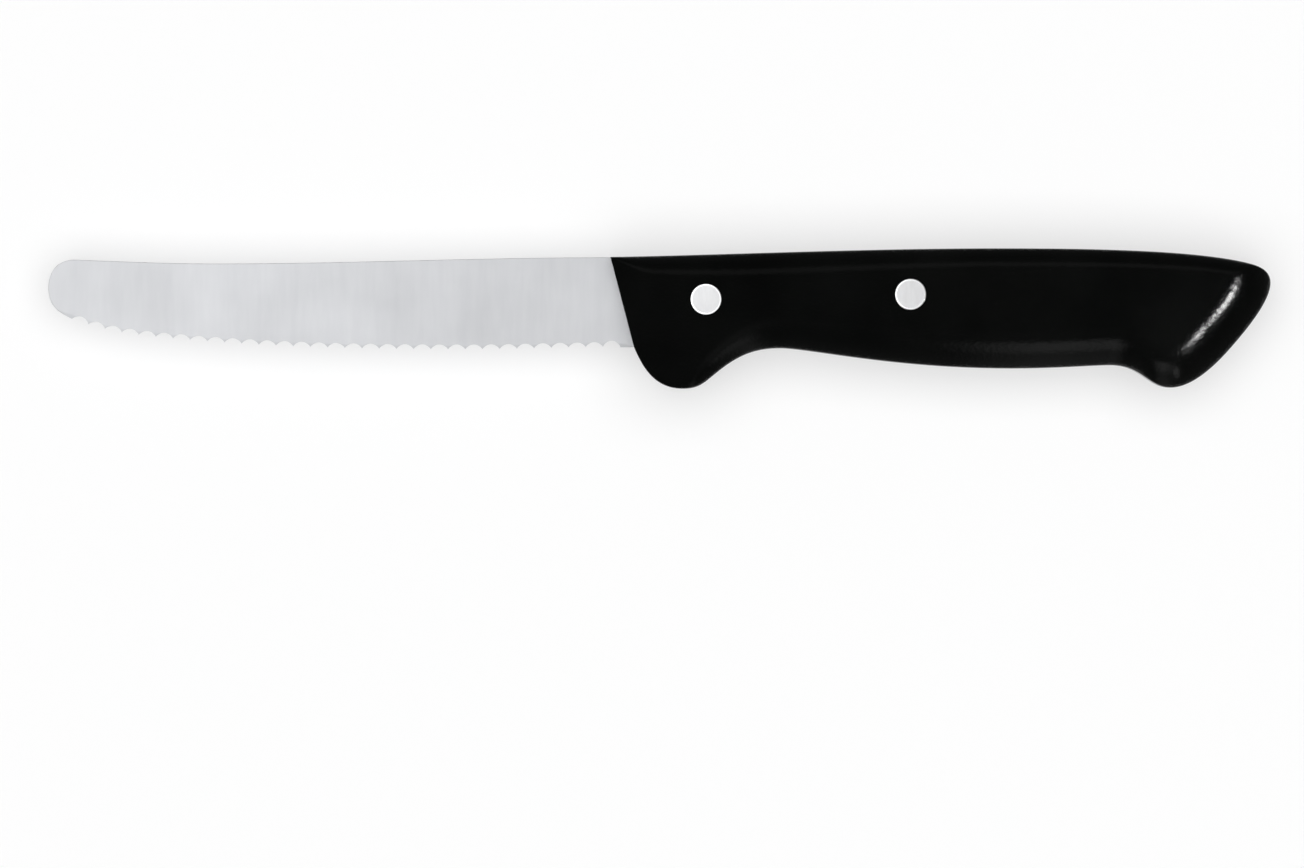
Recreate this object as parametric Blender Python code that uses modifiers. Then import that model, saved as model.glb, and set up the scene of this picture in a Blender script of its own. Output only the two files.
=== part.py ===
# Serrated utility knife: a stamped blade with a half tang, held in a slotted moulded handle
# by two hollow rivets. Metres, +Z up. The knife lies on its side, tip towards -X, edge towards -Y.
# Inside the script x and y are measured from the front top corner of the handle,
# where the spine enters it, and z from the side that the knife rests on.

import math

import bmesh
import bpy
from mathutils import Vector
from mathutils.geometry import interpolate_bezier

# Blade
BLADE_LENGTH = 0.1000           # tip to the middle of the handle's front edge
BLADE_HEIGHT = 0.01565          # at the handle
BLADE_THICKNESS = 0.0015        # spine at the handle, and the whole tang
EDGE_THICKNESS = 0.0006         # behind the edge, before it is serrated
RICASSO_WIDTH = 0.0006          # unground strip in front of the handle
SPINE_DIP = 0.0011              # how far the spine sags
SPINE_DIP_FROM_TIP = 0.0291
TIP_CORNER_DROP = 0.0004        # spine height where the tip starts to round
TIP_ROUND_LENGTH = 0.0041       # length of the rounded tip
TIP_NOSE_DEPTH = 0.0054         # foremost point, below the spine
TIP_FLANK_DEPTH = 0.0107        # first cusp, below the spine
TIP_FLANK_ANGLE = 27.0          # degrees
EDGE_RISE_DEPTH = 0.0139        # where the edge starts to rise to the tip
EDGE_RISE_FROM_TIP = 0.0186
EDGE_BELLY_DEPTH = 0.0161       # lowest point of the edge
EDGE_BELLY_FROM_HANDLE = 0.0255

# Serration, ground from the far side
SCALLOP_PITCH = 0.0030
SCALLOP_DEPTH = 0.0009
HEEL_SCALLOP_DEPTH = 0.0011     # the one next to the heel
SCALLOP_STEPS = 10
HEEL_LAND = 0.0024              # plain edge in front of the handle
CUSP_LIP = 0.00003              # how far the grinding cleans up the blank's edge
FLUTE_ANGLE = 17.0              # degrees between a flute and the blade's face
BACK_BEVEL_HEIGHT = 0.0007      # fine bevel on the near side, left on the cusps
BACK_BEVEL_ANGLE = 5.0          # degrees

# Tang
TANG_WEB = 0.0027               # steel left below the front rivet's bore
TANG_TAIL = 0.0080              # steel beyond the rear rivet's axis
TANG_SHOULDER = 0.0085          # where the heel steps up to the tang
TANG_END_RADIUS = 0.0030
TANG_SHOULDER_RADIUS = 0.0012

# Handle
HANDLE_LENGTH = 0.1149
HANDLE_THICKNESS = 0.0140
FRONT_SLANT = 14.66             # degrees from square
CROWN_RISE = 0.00153
CROWN_FROM_BUTT = 0.0470
BUTT_CORNER_DEPTH = 0.00117
BUTT_CORNER_FROM_BUTT = 0.00344
BUTT_END_DEPTH = 0.00444
BUTT_SLOPE_DEPTH = 0.01576
BUTT_SLOPE_FROM_BUTT = 0.00692
HOOK_DEPTH = 0.02269
HOOK_FROM_BUTT = 0.01738
WAIST_DEPTH = 0.01878
WAIST_FROM_BUTT = 0.02784
BELLY_DEPTH = 0.01935
BELLY_FROM_BUTT = 0.04527
NECK_DEPTH = 0.01583
NECK_FROM_FRONT = 0.02954
GUARD_BACK_DEPTH = 0.01961      # middle of the curve between neck and guard
GUARD_BACK_FROM_FRONT = 0.01909
GUARD_DEPTH = 0.02288
GUARD_FROM_FRONT = 0.01264

# Rounding of the handle's sides, measured in from its outline
BACK_ROUND = 0.0036
BACK_ROUND_START = 0.0078       # where the back reaches its full rounding
BACK_RISE = 0.0002              # height of the back there
BUTT_CORNER_ROUND = 0.0044
BUTT_ROUND = 0.0076
HOOK_ROUND = 0.0072
GRIP_ROUND = 0.0076
NECK_ROUND = 0.0064
GUARD_BACK_ROUND = 0.0042
GUARD_ROUND = 0.0007
FRONT_ROUND = 0.0003
ROUND_TILT = 45.0               # degrees from the flat side, where the rounding ends
RIM_RADIUS = 0.0006             # corner from there to the upright band along the outline
ROUND_STEPS = 5
RIM_STEPS = 3
SPAN_STEPS = 10                 # outline points on each stretch between two knots

# Bends of the blade's outline at its knots: the heading in degrees, and how far the curve
# follows it behind the knot and ahead of it
SPINE_START_BEND = (-2.0, 0.0, 0.0086)
SPINE_DIP_BEND = (0.0, 0.0083, 0.0229)
SPINE_END_BEND = (0.0, 0.0235, 0.0)
TIP_FLANK_BEND = (180.0 - TIP_FLANK_ANGLE, 0.0, 0.0020)
TIP_NOSE_BEND = (90.0, 0.0034, 0.0025)
TIP_CORNER_BEND = (6.0, 0.0030, 0.0)
EDGE_START_BEND = (180.0, 0.0, 0.0091)
EDGE_BELLY_BEND = (180.0, 0.0095, 0.0187)
EDGE_RISE_BEND = (174.3, 0.0180, 0.0052)
EDGE_END_BEND = (158.0, 0.0052, 0.0)

# Bends of the handle's outline: the same, and then the heading of the shoulder line beside
# the knot, where the flat side turns into the rounding
BACK_START_BEND = (1.6, 0.0, 0.0026, -24.0)
BACK_BEND = (1.5, 0.0026, 0.0200, -3.0)
CROWN_BEND = (0.0, 0.0210, 0.0157, 0.0)
BUTT_CORNER_BEND = (-15.5, 0.0090, 0.0015, -9.0)
BUTT_CORNER_INSET = -61.0       # the shoulder turns this corner early
BUTT_END_BEND = (-90.0, 0.0021, 0.0030, -121.0)
BUTT_SLOPE_BEND = (-131.2, 0.0050, 0.0043, -136.0)
HOOK_BEND = (-180.0, 0.0037, 0.0040, -176.0)
WAIST_BEND = (-180.0, 0.0055, 0.0030, -180.0)
BELLY_BEND = (-180.0, 0.0085, 0.0205, -180.0)
NECK_BEND = (-180.0, 0.0050, 0.0040, -176.0)
GUARD_BACK_BEND = (-142.0, 0.0045, 0.0035, -135.0)
GUARD_BEND = (-180.0, 0.0030, 0.0048, -165.0)
FRONT_BEND = (113.0, 0.0042, 0.0, 113.0)

# Rivets: a post pressed into a sleeve, both heads flush with the handle
FRONT_RIVET = (0.01663, -0.00734)
REAR_RIVET = (0.05220, -0.00648)
RIVET_HEAD_RADIUS = 0.0027
RIVET_HEAD_HEIGHT = 0.0018
RIVET_HEAD_CHAMFER = 0.0001
SLEEVE_RADIUS = 0.0017
SHANK_RADIUS = 0.0010
SLEEVE_FLOOR = 0.0010           # metal left below the sleeve's bore
ROUND_SIDES = 40

FIT_GAP = 0.0003                # between any two pieces
CUT_MARGIN = 0.0030             # how far a cutter reaches past what it cuts
WELD = 0.000001                 # points closer than this are one
SHARP_ANGLE = 30.0              # degrees, above which an edge isn't shaded smooth
BLADE_SHARP_ANGLE = 12.0

# Where things are, worked out from the sizes above
MIDDLE = HANDLE_THICKNESS / 2
SLANT = math.tan(math.radians(FRONT_SLANT))
TIP_X = BLADE_HEIGHT * SLANT / 2 - BLADE_LENGTH
HEEL = Vector((BLADE_HEIGHT * SLANT, -BLADE_HEIGHT))
TIP_FLANK = Vector((TIP_X + TIP_ROUND_LENGTH, -TIP_FLANK_DEPTH))
TANG_BORE = SLEEVE_RADIUS + FIT_GAP
TANG_DEPTH = TANG_BORE + TANG_WEB - FRONT_RIVET[1]
TANG_END = REAR_RIVET[0] + TANG_TAIL


def remove_scene_objects():
    for item in list(bpy.data.objects):
        bpy.data.objects.remove(item, do_unlink=True)


def new_collection(name):
    collection = bpy.data.collections.new(name)
    bpy.context.scene.collection.children.link(collection)
    return collection


def new_material(name, colour, roughness, metallic):
    material = bpy.data.materials.new(name)
    material.use_nodes = True
    shader = material.node_tree.nodes["Principled BSDF"]
    shader.inputs["Base Color"].default_value = (*colour, 1.0)
    shader.inputs["Roughness"].default_value = roughness
    shader.inputs["Metallic"].default_value = metallic
    return material


def curve_through(knots, steps):
    # Each knot is x, y, heading in degrees, reach behind and reach ahead.
    points = []
    for start, end in zip(knots, knots[1:]):
        lead = math.radians(start[2])
        trail = math.radians(end[2])
        first = Vector((start[0], start[1]))
        last = Vector((end[0], end[1]))
        handle_out = first + start[4] * Vector((math.cos(lead), math.sin(lead)))
        handle_in = last - end[3] * Vector((math.cos(trail), math.sin(trail)))
        span = interpolate_bezier(first, handle_out, handle_in, last, steps + 1)
        points.extend(Vector(point[:2]) for point in span[:-1])
    points.append(Vector((knots[-1][0], knots[-1][1])))
    return points


def rounded_corner(before, corner, after, radius, steps=6):
    towards = (before - corner).normalized()
    away = (after - corner).normalized()
    half_angle = towards.angle(away) / 2
    setback = radius / math.tan(half_angle)
    centre = corner + (towards + away).normalized() * radius / math.sin(half_angle)
    start = corner + towards * setback - centre
    end = corner + away * setback - centre
    turn = start.angle_signed(end)
    points = []
    for step in range(steps + 1):
        angle = -turn * step / steps
        cosine = math.cos(angle)
        sine = math.sin(angle)
        points.append(centre + Vector((start.x * cosine - start.y * sine, start.x * sine + start.y * cosine)))
    return points


def spine_knots():
    return [
        (TIP_FLANK.x, -TIP_CORNER_DROP, *SPINE_START_BEND),
        (TIP_X + SPINE_DIP_FROM_TIP, -SPINE_DIP, *SPINE_DIP_BEND),
        (0.0, 0.0, *SPINE_END_BEND),
    ]


def tip_knots():
    return [
        (TIP_FLANK.x, TIP_FLANK.y, *TIP_FLANK_BEND),
        (TIP_X, -TIP_NOSE_DEPTH, *TIP_NOSE_BEND),
        (TIP_FLANK.x, -TIP_CORNER_DROP, *TIP_CORNER_BEND),
    ]


def edge_knots():
    return [
        (HEEL.x - HEEL_LAND, HEEL.y, *EDGE_START_BEND),
        (-EDGE_BELLY_FROM_HANDLE, -EDGE_BELLY_DEPTH, *EDGE_BELLY_BEND),
        (TIP_X + EDGE_RISE_FROM_TIP, -EDGE_RISE_DEPTH, *EDGE_RISE_BEND),
        (TIP_FLANK.x, TIP_FLANK.y, *EDGE_END_BEND),
    ]


def inset(heading, width):
    # The way into the handle from an outline with this heading.
    angle = math.radians(heading)
    return width * math.sin(angle), -width * math.cos(angle)


def handle_knots():
    # The outline from the front top corner over the back to the butt, and along the underside
    # to the front: x, y, the bend, and how far in from there the shoulder line has its knot.
    butt = HANDLE_LENGTH
    return [
        (0.0, 0.0, BACK_START_BEND, 0.0),
        (BACK_ROUND_START, BACK_RISE, BACK_BEND, BACK_ROUND),
        (butt - CROWN_FROM_BUTT, CROWN_RISE, CROWN_BEND, BACK_ROUND),
        (butt - BUTT_CORNER_FROM_BUTT, -BUTT_CORNER_DEPTH, BUTT_CORNER_BEND, BUTT_CORNER_ROUND),
        (butt, -BUTT_END_DEPTH, BUTT_END_BEND, BUTT_ROUND),
        (butt - BUTT_SLOPE_FROM_BUTT, -BUTT_SLOPE_DEPTH, BUTT_SLOPE_BEND, BUTT_ROUND),
        (butt - HOOK_FROM_BUTT, -HOOK_DEPTH, HOOK_BEND, HOOK_ROUND),
        (butt - WAIST_FROM_BUTT, -WAIST_DEPTH, WAIST_BEND, GRIP_ROUND),
        (butt - BELLY_FROM_BUTT, -BELLY_DEPTH, BELLY_BEND, GRIP_ROUND),
        (NECK_FROM_FRONT, -NECK_DEPTH, NECK_BEND, NECK_ROUND),
        (GUARD_BACK_FROM_FRONT, -GUARD_BACK_DEPTH, GUARD_BACK_BEND, GUARD_BACK_ROUND),
        (GUARD_FROM_FRONT, -GUARD_DEPTH, GUARD_BEND, GUARD_ROUND),
        (HEEL.x, HEEL.y, FRONT_BEND, FRONT_ROUND),
    ]


def rim_knots():
    return [(x, y, *bend[:3]) for x, y, bend, _ in handle_knots()]


def shoulder_knots():
    # The outline's knots moved in, with their reaches stretched as the stretches between them are.
    rim = rim_knots()
    moved = []
    for x, y, bend, width in handle_knots():
        heading = BUTT_CORNER_INSET if bend is BUTT_CORNER_BEND else bend[0]
        across, down = inset(heading, width)
        moved.append((x + across, y + down))
    ratios = [1.0]
    for index in range(len(rim) - 1):
        old = math.dist(rim[index][:2], rim[index + 1][:2])
        ratios.append(math.dist(moved[index], moved[index + 1]) / old)
    ratios.append(1.0)
    knots = []
    for index, (_, _, bend, _) in enumerate(handle_knots()):
        behind = bend[1] * ratios[index]
        ahead = bend[2] * ratios[index + 1]
        knots.append((*moved[index], bend[3], behind, ahead))
    return knots


def ground_half_thickness(point):
    # Half the blade's thickness after grinding: one plane on each side, thinnest along the line
    # from the heel to the first cusp and full at the spine over the heel.
    along = (TIP_FLANK - HEEL).normalized()
    inward = Vector((along.y, -along.x))
    height = (point - HEEL).dot(inward)
    rise = (BLADE_THICKNESS - EDGE_THICKNESS) / 2 / (-HEEL).dot(inward)
    return EDGE_THICKNESS / 2 + rise * height


def finish(piece, collection, material, sharp_angle=SHARP_ANGLE):
    piece.data.materials.clear()
    piece.data.materials.append(material)
    piece.data.shade_smooth()
    piece.data.set_sharp_from_angle(angle=math.radians(sharp_angle))
    for owner in list(piece.users_collection):
        owner.objects.unlink(piece)
    collection.objects.link(piece)


def cut(piece, tools, cutters):
    # Takes all the tools of one piece out of it at once.
    collection = bpy.data.collections.new(piece.name + "_cutters")
    cutters.children.link(collection)
    for tool in tools:
        for owner in list(tool.users_collection):
            owner.objects.unlink(tool)
        collection.objects.link(tool)
        tool.hide_render = True
        tool.display_type = "WIRE"
    boolean = piece.modifiers.new("Cut", "BOOLEAN")
    boolean.operation = "DIFFERENCE"
    boolean.operand_type = "COLLECTION"
    boolean.collection = collection


def plate_from_outline(name, outline, thickness):
    # A flat closed outline drawn as a filled 2D curve, made a mesh with its caps welded.
    curve = bpy.data.curves.new(name + "_outline", "CURVE")
    curve.dimensions = "2D"
    curve.fill_mode = "BOTH"
    curve.extrude = thickness / 2
    spline = curve.splines.new("POLY")
    spline.points.add(len(outline) - 1)
    for spline_point, point in zip(spline.points, outline):
        spline_point.co = (point.x, point.y, 0.0, 1.0)
    spline.use_cyclic_u = True
    drawn = bpy.data.objects.new(name + "_outline", curve)
    bpy.context.scene.collection.objects.link(drawn)
    drawn.location.z = MIDDLE
    bpy.context.view_layer.update()
    evaluated = drawn.evaluated_get(bpy.context.evaluated_depsgraph_get())
    mesh = bpy.data.meshes.new_from_object(evaluated)
    mesh.name = name
    plate = bpy.data.objects.new(name, mesh)
    plate.matrix_world = drawn.matrix_world.copy()
    bpy.context.scene.collection.objects.link(plate)
    bpy.data.objects.remove(drawn, do_unlink=True)
    shape = bmesh.new()
    shape.from_mesh(mesh)
    bmesh.ops.remove_doubles(shape, verts=shape.verts, dist=WELD)
    bmesh.ops.recalc_face_normals(shape, faces=shape.faces)
    shape.to_mesh(mesh)
    shape.free()
    return plate


def loft(name, sections, cap_ends, closed_loop):
    # Joins sections with the same number of points; each section is a ring unless cap_ends is off.
    shape = bmesh.new()
    rings = [[shape.verts.new(point) for point in section] for section in sections]
    count = len(rings[0])
    pairs = list(zip(rings, rings[1:]))
    if closed_loop:
        pairs.append((rings[-1], rings[0]))
    for ring, following in pairs:
        for index in range(count if cap_ends else count - 1):
            after = (index + 1) % count
            shape.faces.new((ring[index], ring[after], following[after], following[index]))
    if cap_ends:
        shape.faces.new(rings[0])
        shape.faces.new(rings[-1])
    else:
        shape.faces.new([ring[0] for ring in rings])
        shape.faces.new([ring[-1] for ring in rings])
    bmesh.ops.recalc_face_normals(shape, faces=shape.faces)
    mesh = bpy.data.meshes.new(name)
    shape.to_mesh(mesh)
    shape.free()
    piece = bpy.data.objects.new(name, mesh)
    bpy.context.scene.collection.objects.link(piece)
    return piece


def turned(name, profile, place):
    # A profile in x and z, run down its outer side and turned about z.
    mesh = bpy.data.meshes.new(name)
    points = [(x, 0.0, z) for x, z in profile]
    edges = [(index, index + 1) for index in range(len(points) - 1)]
    mesh.from_pydata(points, edges, [])
    piece = bpy.data.objects.new(name, mesh)
    piece.location = (place[0], place[1], 0.0)
    bpy.context.scene.collection.objects.link(piece)
    screw = piece.modifiers.new("Turn", "SCREW")
    screw.axis = "Z"
    screw.steps = ROUND_SIDES
    screw.render_steps = ROUND_SIDES
    screw.use_merge_vertices = True
    screw.merge_threshold = WELD
    screw.use_smooth_shade = False
    return piece


def tang_outline():
    # From the spine's corner along the handle's back, round the tang and back to the heel.
    back = curve_through(rim_knots()[:4], 2 * SPAN_STEPS)
    top = [point for point in back if point.x < TANG_END]
    before = top[-1]
    after = back[len(top)]
    share = (TANG_END - before.x) / (after.x - before.x)
    end_top = before.lerp(after, share)
    end_corner = Vector((TANG_END, -TANG_DEPTH))
    shoulder_top = Vector((TANG_SHOULDER, -TANG_DEPTH))
    shoulder_base = Vector((TANG_SHOULDER, HEEL.y))
    outline = top + [end_top]
    outline += rounded_corner(end_top, end_corner, shoulder_top, TANG_END_RADIUS)
    outline += rounded_corner(end_corner, shoulder_top, shoulder_base, TANG_SHOULDER_RADIUS)
    outline += rounded_corner(shoulder_top, shoulder_base, HEEL, TANG_SHOULDER_RADIUS)
    return outline


def blade_blank():
    edge = curve_through(edge_knots(), 3 * SPAN_STEPS)
    tip = curve_through(tip_knots(), SPAN_STEPS)
    spine = curve_through(spine_knots(), SPAN_STEPS)
    outline = tang_outline() + edge + tip[1:] + spine[1:-1]
    return plate_from_outline("blade", outline, BLADE_THICKNESS)


def face_grind(name, side):
    # A wedge that thins one face, from the ricasso to past the tip.
    shape = bmesh.new()
    bmesh.ops.create_cube(shape, size=2.0)
    for vertex in shape.verts:
        y = CUT_MARGIN if vertex.co.y > 0 else -EDGE_BELLY_DEPTH - CUT_MARGIN
        ricasso = -y * SLANT - RICASSO_WIDTH
        x = ricasso if vertex.co.x > 0 else TIP_X - CUT_MARGIN
        depth = ground_half_thickness(Vector((x, y)))
        if vertex.co.z > 0:
            depth = BLADE_THICKNESS + CUT_MARGIN
        vertex.co = (x, y, MIDDLE + side * depth)
    if side < 0:
        bmesh.ops.reverse_faces(shape, faces=shape.faces)
    mesh = bpy.data.meshes.new(name)
    shape.to_mesh(mesh)
    shape.free()
    cutter = bpy.data.objects.new(name, mesh)
    bpy.context.scene.collection.objects.link(cutter)
    return cutter


def edge_stations():
    # Points along the edge at even steps, each with the direction into the blade and
    # the scallop's height there, and one past the tip where the flank runs on plain.
    path = curve_through(edge_knots(), 20 * SPAN_STEPS)
    travelled = [0.0]
    for start, end in zip(path, path[1:]):
        travelled.append(travelled[-1] + (end - start).length)
    count = round(travelled[-1] / SCALLOP_PITCH)
    pitch = travelled[-1] / count
    stations = []
    position = 0
    for step in range(count * SCALLOP_STEPS + 1):
        distance = min(step * pitch / SCALLOP_STEPS, travelled[-1])
        while position < len(path) - 2 and travelled[position + 1] < distance:
            position += 1
        share = (distance - travelled[position]) / (travelled[position + 1] - travelled[position])
        point = path[position].lerp(path[position + 1], share)
        heading = (path[position + 1] - path[position]).normalized()
        depth = SCALLOP_DEPTH if step >= SCALLOP_STEPS else HEEL_SCALLOP_DEPTH
        radius = (pitch ** 2 / 4 + depth ** 2) / (2 * depth)
        offset = (step % SCALLOP_STEPS) * pitch / SCALLOP_STEPS - pitch / 2
        height = math.sqrt(radius ** 2 - offset ** 2) - radius + depth
        stations.append((point, Vector((heading.y, -heading.x)), CUSP_LIP + height))
    flank = math.radians(180.0 - TIP_FLANK_ANGLE)
    heading = Vector((math.cos(flank), math.sin(flank)))
    beyond = TIP_FLANK + heading * (TIP_ROUND_LENGTH + CUT_MARGIN)
    stations.append((beyond, Vector((heading.y, -heading.x)), CUSP_LIP))
    return stations


def near_face(point, inward, height):
    # Level of the near face at a height above the edge, with the fine bevel below its own height.
    full = ground_half_thickness(point + inward * height)
    drop = max(BACK_BEVEL_HEIGHT - height, 0.0) * math.tan(math.radians(BACK_BEVEL_ANGLE))
    return MIDDLE + full - drop


def scallop_cutter():
    # The grinding wheel's ribs, laid over towards the far side.
    slope = math.tan(math.radians(FLUTE_ANGLE))
    top = MIDDLE + BLADE_THICKNESS
    bottom = MIDDLE - BLADE_THICKNESS
    outer = -(BLADE_THICKNESS * 1.5 / slope)
    sections = []
    for point, inward, height in edge_stations():
        level = near_face(point, inward, height)
        high = point + inward * (height - (top - level) / slope)
        low = point + inward * (height + (level - bottom) / slope)
        clear = point + inward * outer
        sections.append([(*high, top), (*low, bottom), (*clear, bottom), (*clear, top)])
    return loft("scallop_grind", sections, True, False)


def back_bevel_cutter():
    slope = math.tan(math.radians(BACK_BEVEL_ANGLE))
    top = MIDDLE + BLADE_THICKNESS
    reach = BACK_BEVEL_HEIGHT + CUT_MARGIN
    sections = []
    stations = edge_stations()
    for point, inward, height in stations[::SCALLOP_STEPS] + stations[-1:]:
        level = near_face(point, inward, BACK_BEVEL_HEIGHT)
        inner = point + inward * BACK_BEVEL_HEIGHT
        clear = point - inward * CUT_MARGIN
        sections.append([(*inner, top), (*inner, level), (*clear, level - reach * slope), (*clear, top)])
    return loft("back_bevel_grind", sections, True, False)


def rivet_bore(name, place, stepped):
    # The hole for one rivet: straight through the tang, stepped in the handle to seat the heads.
    top = HANDLE_THICKNESS + CUT_MARGIN
    profile = [(TANG_BORE, top), (TANG_BORE, -CUT_MARGIN)]
    if stepped:
        seat = RIVET_HEAD_RADIUS + FIT_GAP
        shelf = RIVET_HEAD_HEIGHT + FIT_GAP
        profile = [
            (seat, top),
            (seat, HANDLE_THICKNESS - shelf),
            (TANG_BORE, HANDLE_THICKNESS - shelf),
            (TANG_BORE, shelf),
            (seat, shelf),
            (seat, -CUT_MARGIN),
        ]
    return turned(name, [(0.0, top)] + profile + [(0.0, -CUT_MARGIN)], place)


def rivet_post(name, place):
    head = RIVET_HEAD_RADIUS
    top = HANDLE_THICKNESS
    under = top - RIVET_HEAD_HEIGHT
    foot = SLEEVE_FLOOR + FIT_GAP
    profile = [
        (0.0, top),
        (head - RIVET_HEAD_CHAMFER, top),
        (head, top - RIVET_HEAD_CHAMFER),
        (head, under),
        (SHANK_RADIUS, under),
        (SHANK_RADIUS, foot),
        (0.0, foot),
    ]
    return turned(name, profile, place)


def rivet_sleeve(name, place):
    head = RIVET_HEAD_RADIUS
    bore = SHANK_RADIUS + FIT_GAP
    mouth = HANDLE_THICKNESS - RIVET_HEAD_HEIGHT - FIT_GAP
    profile = [
        (0.0, SLEEVE_FLOOR),
        (bore, SLEEVE_FLOOR),
        (bore, mouth),
        (SLEEVE_RADIUS, mouth),
        (SLEEVE_RADIUS, RIVET_HEAD_HEIGHT),
        (head, RIVET_HEAD_HEIGHT),
        (head, RIVET_HEAD_CHAMFER),
        (head - RIVET_HEAD_CHAMFER, 0.0),
        (0.0, 0.0),
    ]
    return turned(name, profile, place)


def rounding(width):
    # From the outline in to the shoulder line: the small corner and then the wide rounding, as
    # the share of the width that is left to go and the depth below the flat side.
    limit = math.radians(ROUND_TILT)
    corner = min(RIM_RADIUS, width / 2)
    radius = (width - corner * (1 - math.sin(limit))) / math.sin(limit)
    profile = []
    for step in range(RIM_STEPS):
        tilt = math.pi / 2 + (limit - math.pi / 2) * step / RIM_STEPS
        across = radius * math.sin(limit) + corner * (math.sin(tilt) - math.sin(limit))
        depth = radius * (1 - math.cos(limit)) + corner * (math.cos(limit) - math.cos(tilt))
        profile.append((across / width, depth))
    for step in range(ROUND_STEPS + 1):
        tilt = limit * (1 - step / ROUND_STEPS)
        profile.append((radius * math.sin(tilt) / width, radius * (1 - math.cos(tilt))))
    return profile


def square_widths(outline, shoulder):
    # How far the shoulder line is from the outline, measured square to the outline.
    widths = []
    last = len(outline) - 1
    for index, (rim, flat) in enumerate(zip(outline, shoulder)):
        along = (outline[min(index + 1, last)] - outline[max(index - 1, 0)]).normalized()
        widths.append(abs(along.cross(flat - rim)))
    return widths


def handle_body():
    # A loft round the handle: at each point of the outline an upright band at the middle, and
    # a rounding on each side that leads from it to the shoulder line of the flat side.
    outline = curve_through(rim_knots(), SPAN_STEPS)
    shoulder = curve_through(shoulder_knots(), SPAN_STEPS)
    sections = []
    for rim, flat, square in zip(outline, shoulder, square_widths(outline, shoulder)):
        width = max(square, FRONT_ROUND)
        profile = [(flat.lerp(rim, share), depth) for share, depth in rounding(width)]
        upper = [(*place, HANDLE_THICKNESS - depth) for place, depth in profile]
        lower = [(*place, depth) for place, depth in reversed(profile)]
        sections.append(lower + upper)
    return loft("handle", sections, False, True)


def slot_cutter():
    # The tang's pocket, open at the front and along the back.
    above = CROWN_RISE + CUT_MARGIN
    front = -CUT_MARGIN
    end_top = Vector((TANG_END + FIT_GAP, above))
    end_corner = Vector((TANG_END + FIT_GAP, -TANG_DEPTH - FIT_GAP))
    shoulder_top = Vector((TANG_SHOULDER + FIT_GAP, -TANG_DEPTH - FIT_GAP))
    shoulder_base = Vector((TANG_SHOULDER + FIT_GAP, HEEL.y - FIT_GAP))
    front_base = Vector((front, HEEL.y - FIT_GAP))
    outline = [Vector((front, above)), end_top]
    outline += rounded_corner(end_top, end_corner, shoulder_top, TANG_END_RADIUS + FIT_GAP)
    outline += rounded_corner(end_corner, shoulder_top, shoulder_base, TANG_SHOULDER_RADIUS - FIT_GAP)
    outline += rounded_corner(shoulder_top, shoulder_base, front_base, TANG_SHOULDER_RADIUS + FIT_GAP)
    outline.append(front_base)
    return plate_from_outline("tang_slot", outline, BLADE_THICKNESS + 2 * FIT_GAP)


def build_blade(parts, cutters, steel):
    blade = blade_blank()
    finish(blade, parts, steel, BLADE_SHARP_ANGLE)
    tools = [
        face_grind("near_face_grind", 1),
        face_grind("far_face_grind", -1),
        back_bevel_cutter(),
        scallop_cutter(),
        rivet_bore("front_tang_bore", FRONT_RIVET, False),
        rivet_bore("rear_tang_bore", REAR_RIVET, False),
    ]
    cut(blade, tools, cutters)
    return blade


def build_handle(parts, cutters, plastic):
    handle = handle_body()
    finish(handle, parts, plastic)
    tools = [
        slot_cutter(),
        rivet_bore("front_handle_bore", FRONT_RIVET, True),
        rivet_bore("rear_handle_bore", REAR_RIVET, True),
    ]
    cut(handle, tools, cutters)
    return handle


def build_rivets(parts, metal):
    rivets = []
    for name, place in (("front", FRONT_RIVET), ("rear", REAR_RIVET)):
        rivets.append(rivet_post(name + "_rivet_post", place))
        rivets.append(rivet_sleeve(name + "_rivet_sleeve", place))
    for rivet in rivets:
        finish(rivet, parts, metal)
    return rivets


def place_on_origin(pieces, cutters):
    # The origin is under the middle of the knife's box, on the side that it rests on.
    rim = curve_through(rim_knots(), SPAN_STEPS)
    left = TIP_X
    right = max(point.x for point in rim)
    top = max(point.y for point in rim)
    bottom = min(point.y for point in rim)
    origin = bpy.data.objects.new("knife_origin", None)
    bpy.context.scene.collection.objects.link(origin)
    origin.location = (-(left + right) / 2, -(top + bottom) / 2, 0.0)
    for item in pieces + list(cutters.all_objects):
        item.parent = origin


def main():
    remove_scene_objects()
    parts = new_collection("serrated_utility_knife")
    cutters = new_collection("cutters")
    steel = new_material("blade_steel", (0.66, 0.67, 0.69), 0.30, 1.0)
    plastic = new_material("handle_plastic", (0.006, 0.006, 0.006), 0.35, 0.0)
    rivet_metal = new_material("rivet_metal", (0.76, 0.77, 0.78), 0.28, 1.0)
    blade = build_blade(parts, cutters, steel)
    handle = build_handle(parts, cutters, plastic)
    rivets = build_rivets(parts, rivet_metal)
    place_on_origin([blade, handle] + rivets, cutters)
    bpy.context.view_layer.update()
    print("knife length", round(HANDLE_LENGTH - TIP_X, 5))


main()
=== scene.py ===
import math

import bmesh
import bpy
from mathutils import Matrix, Vector


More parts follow.
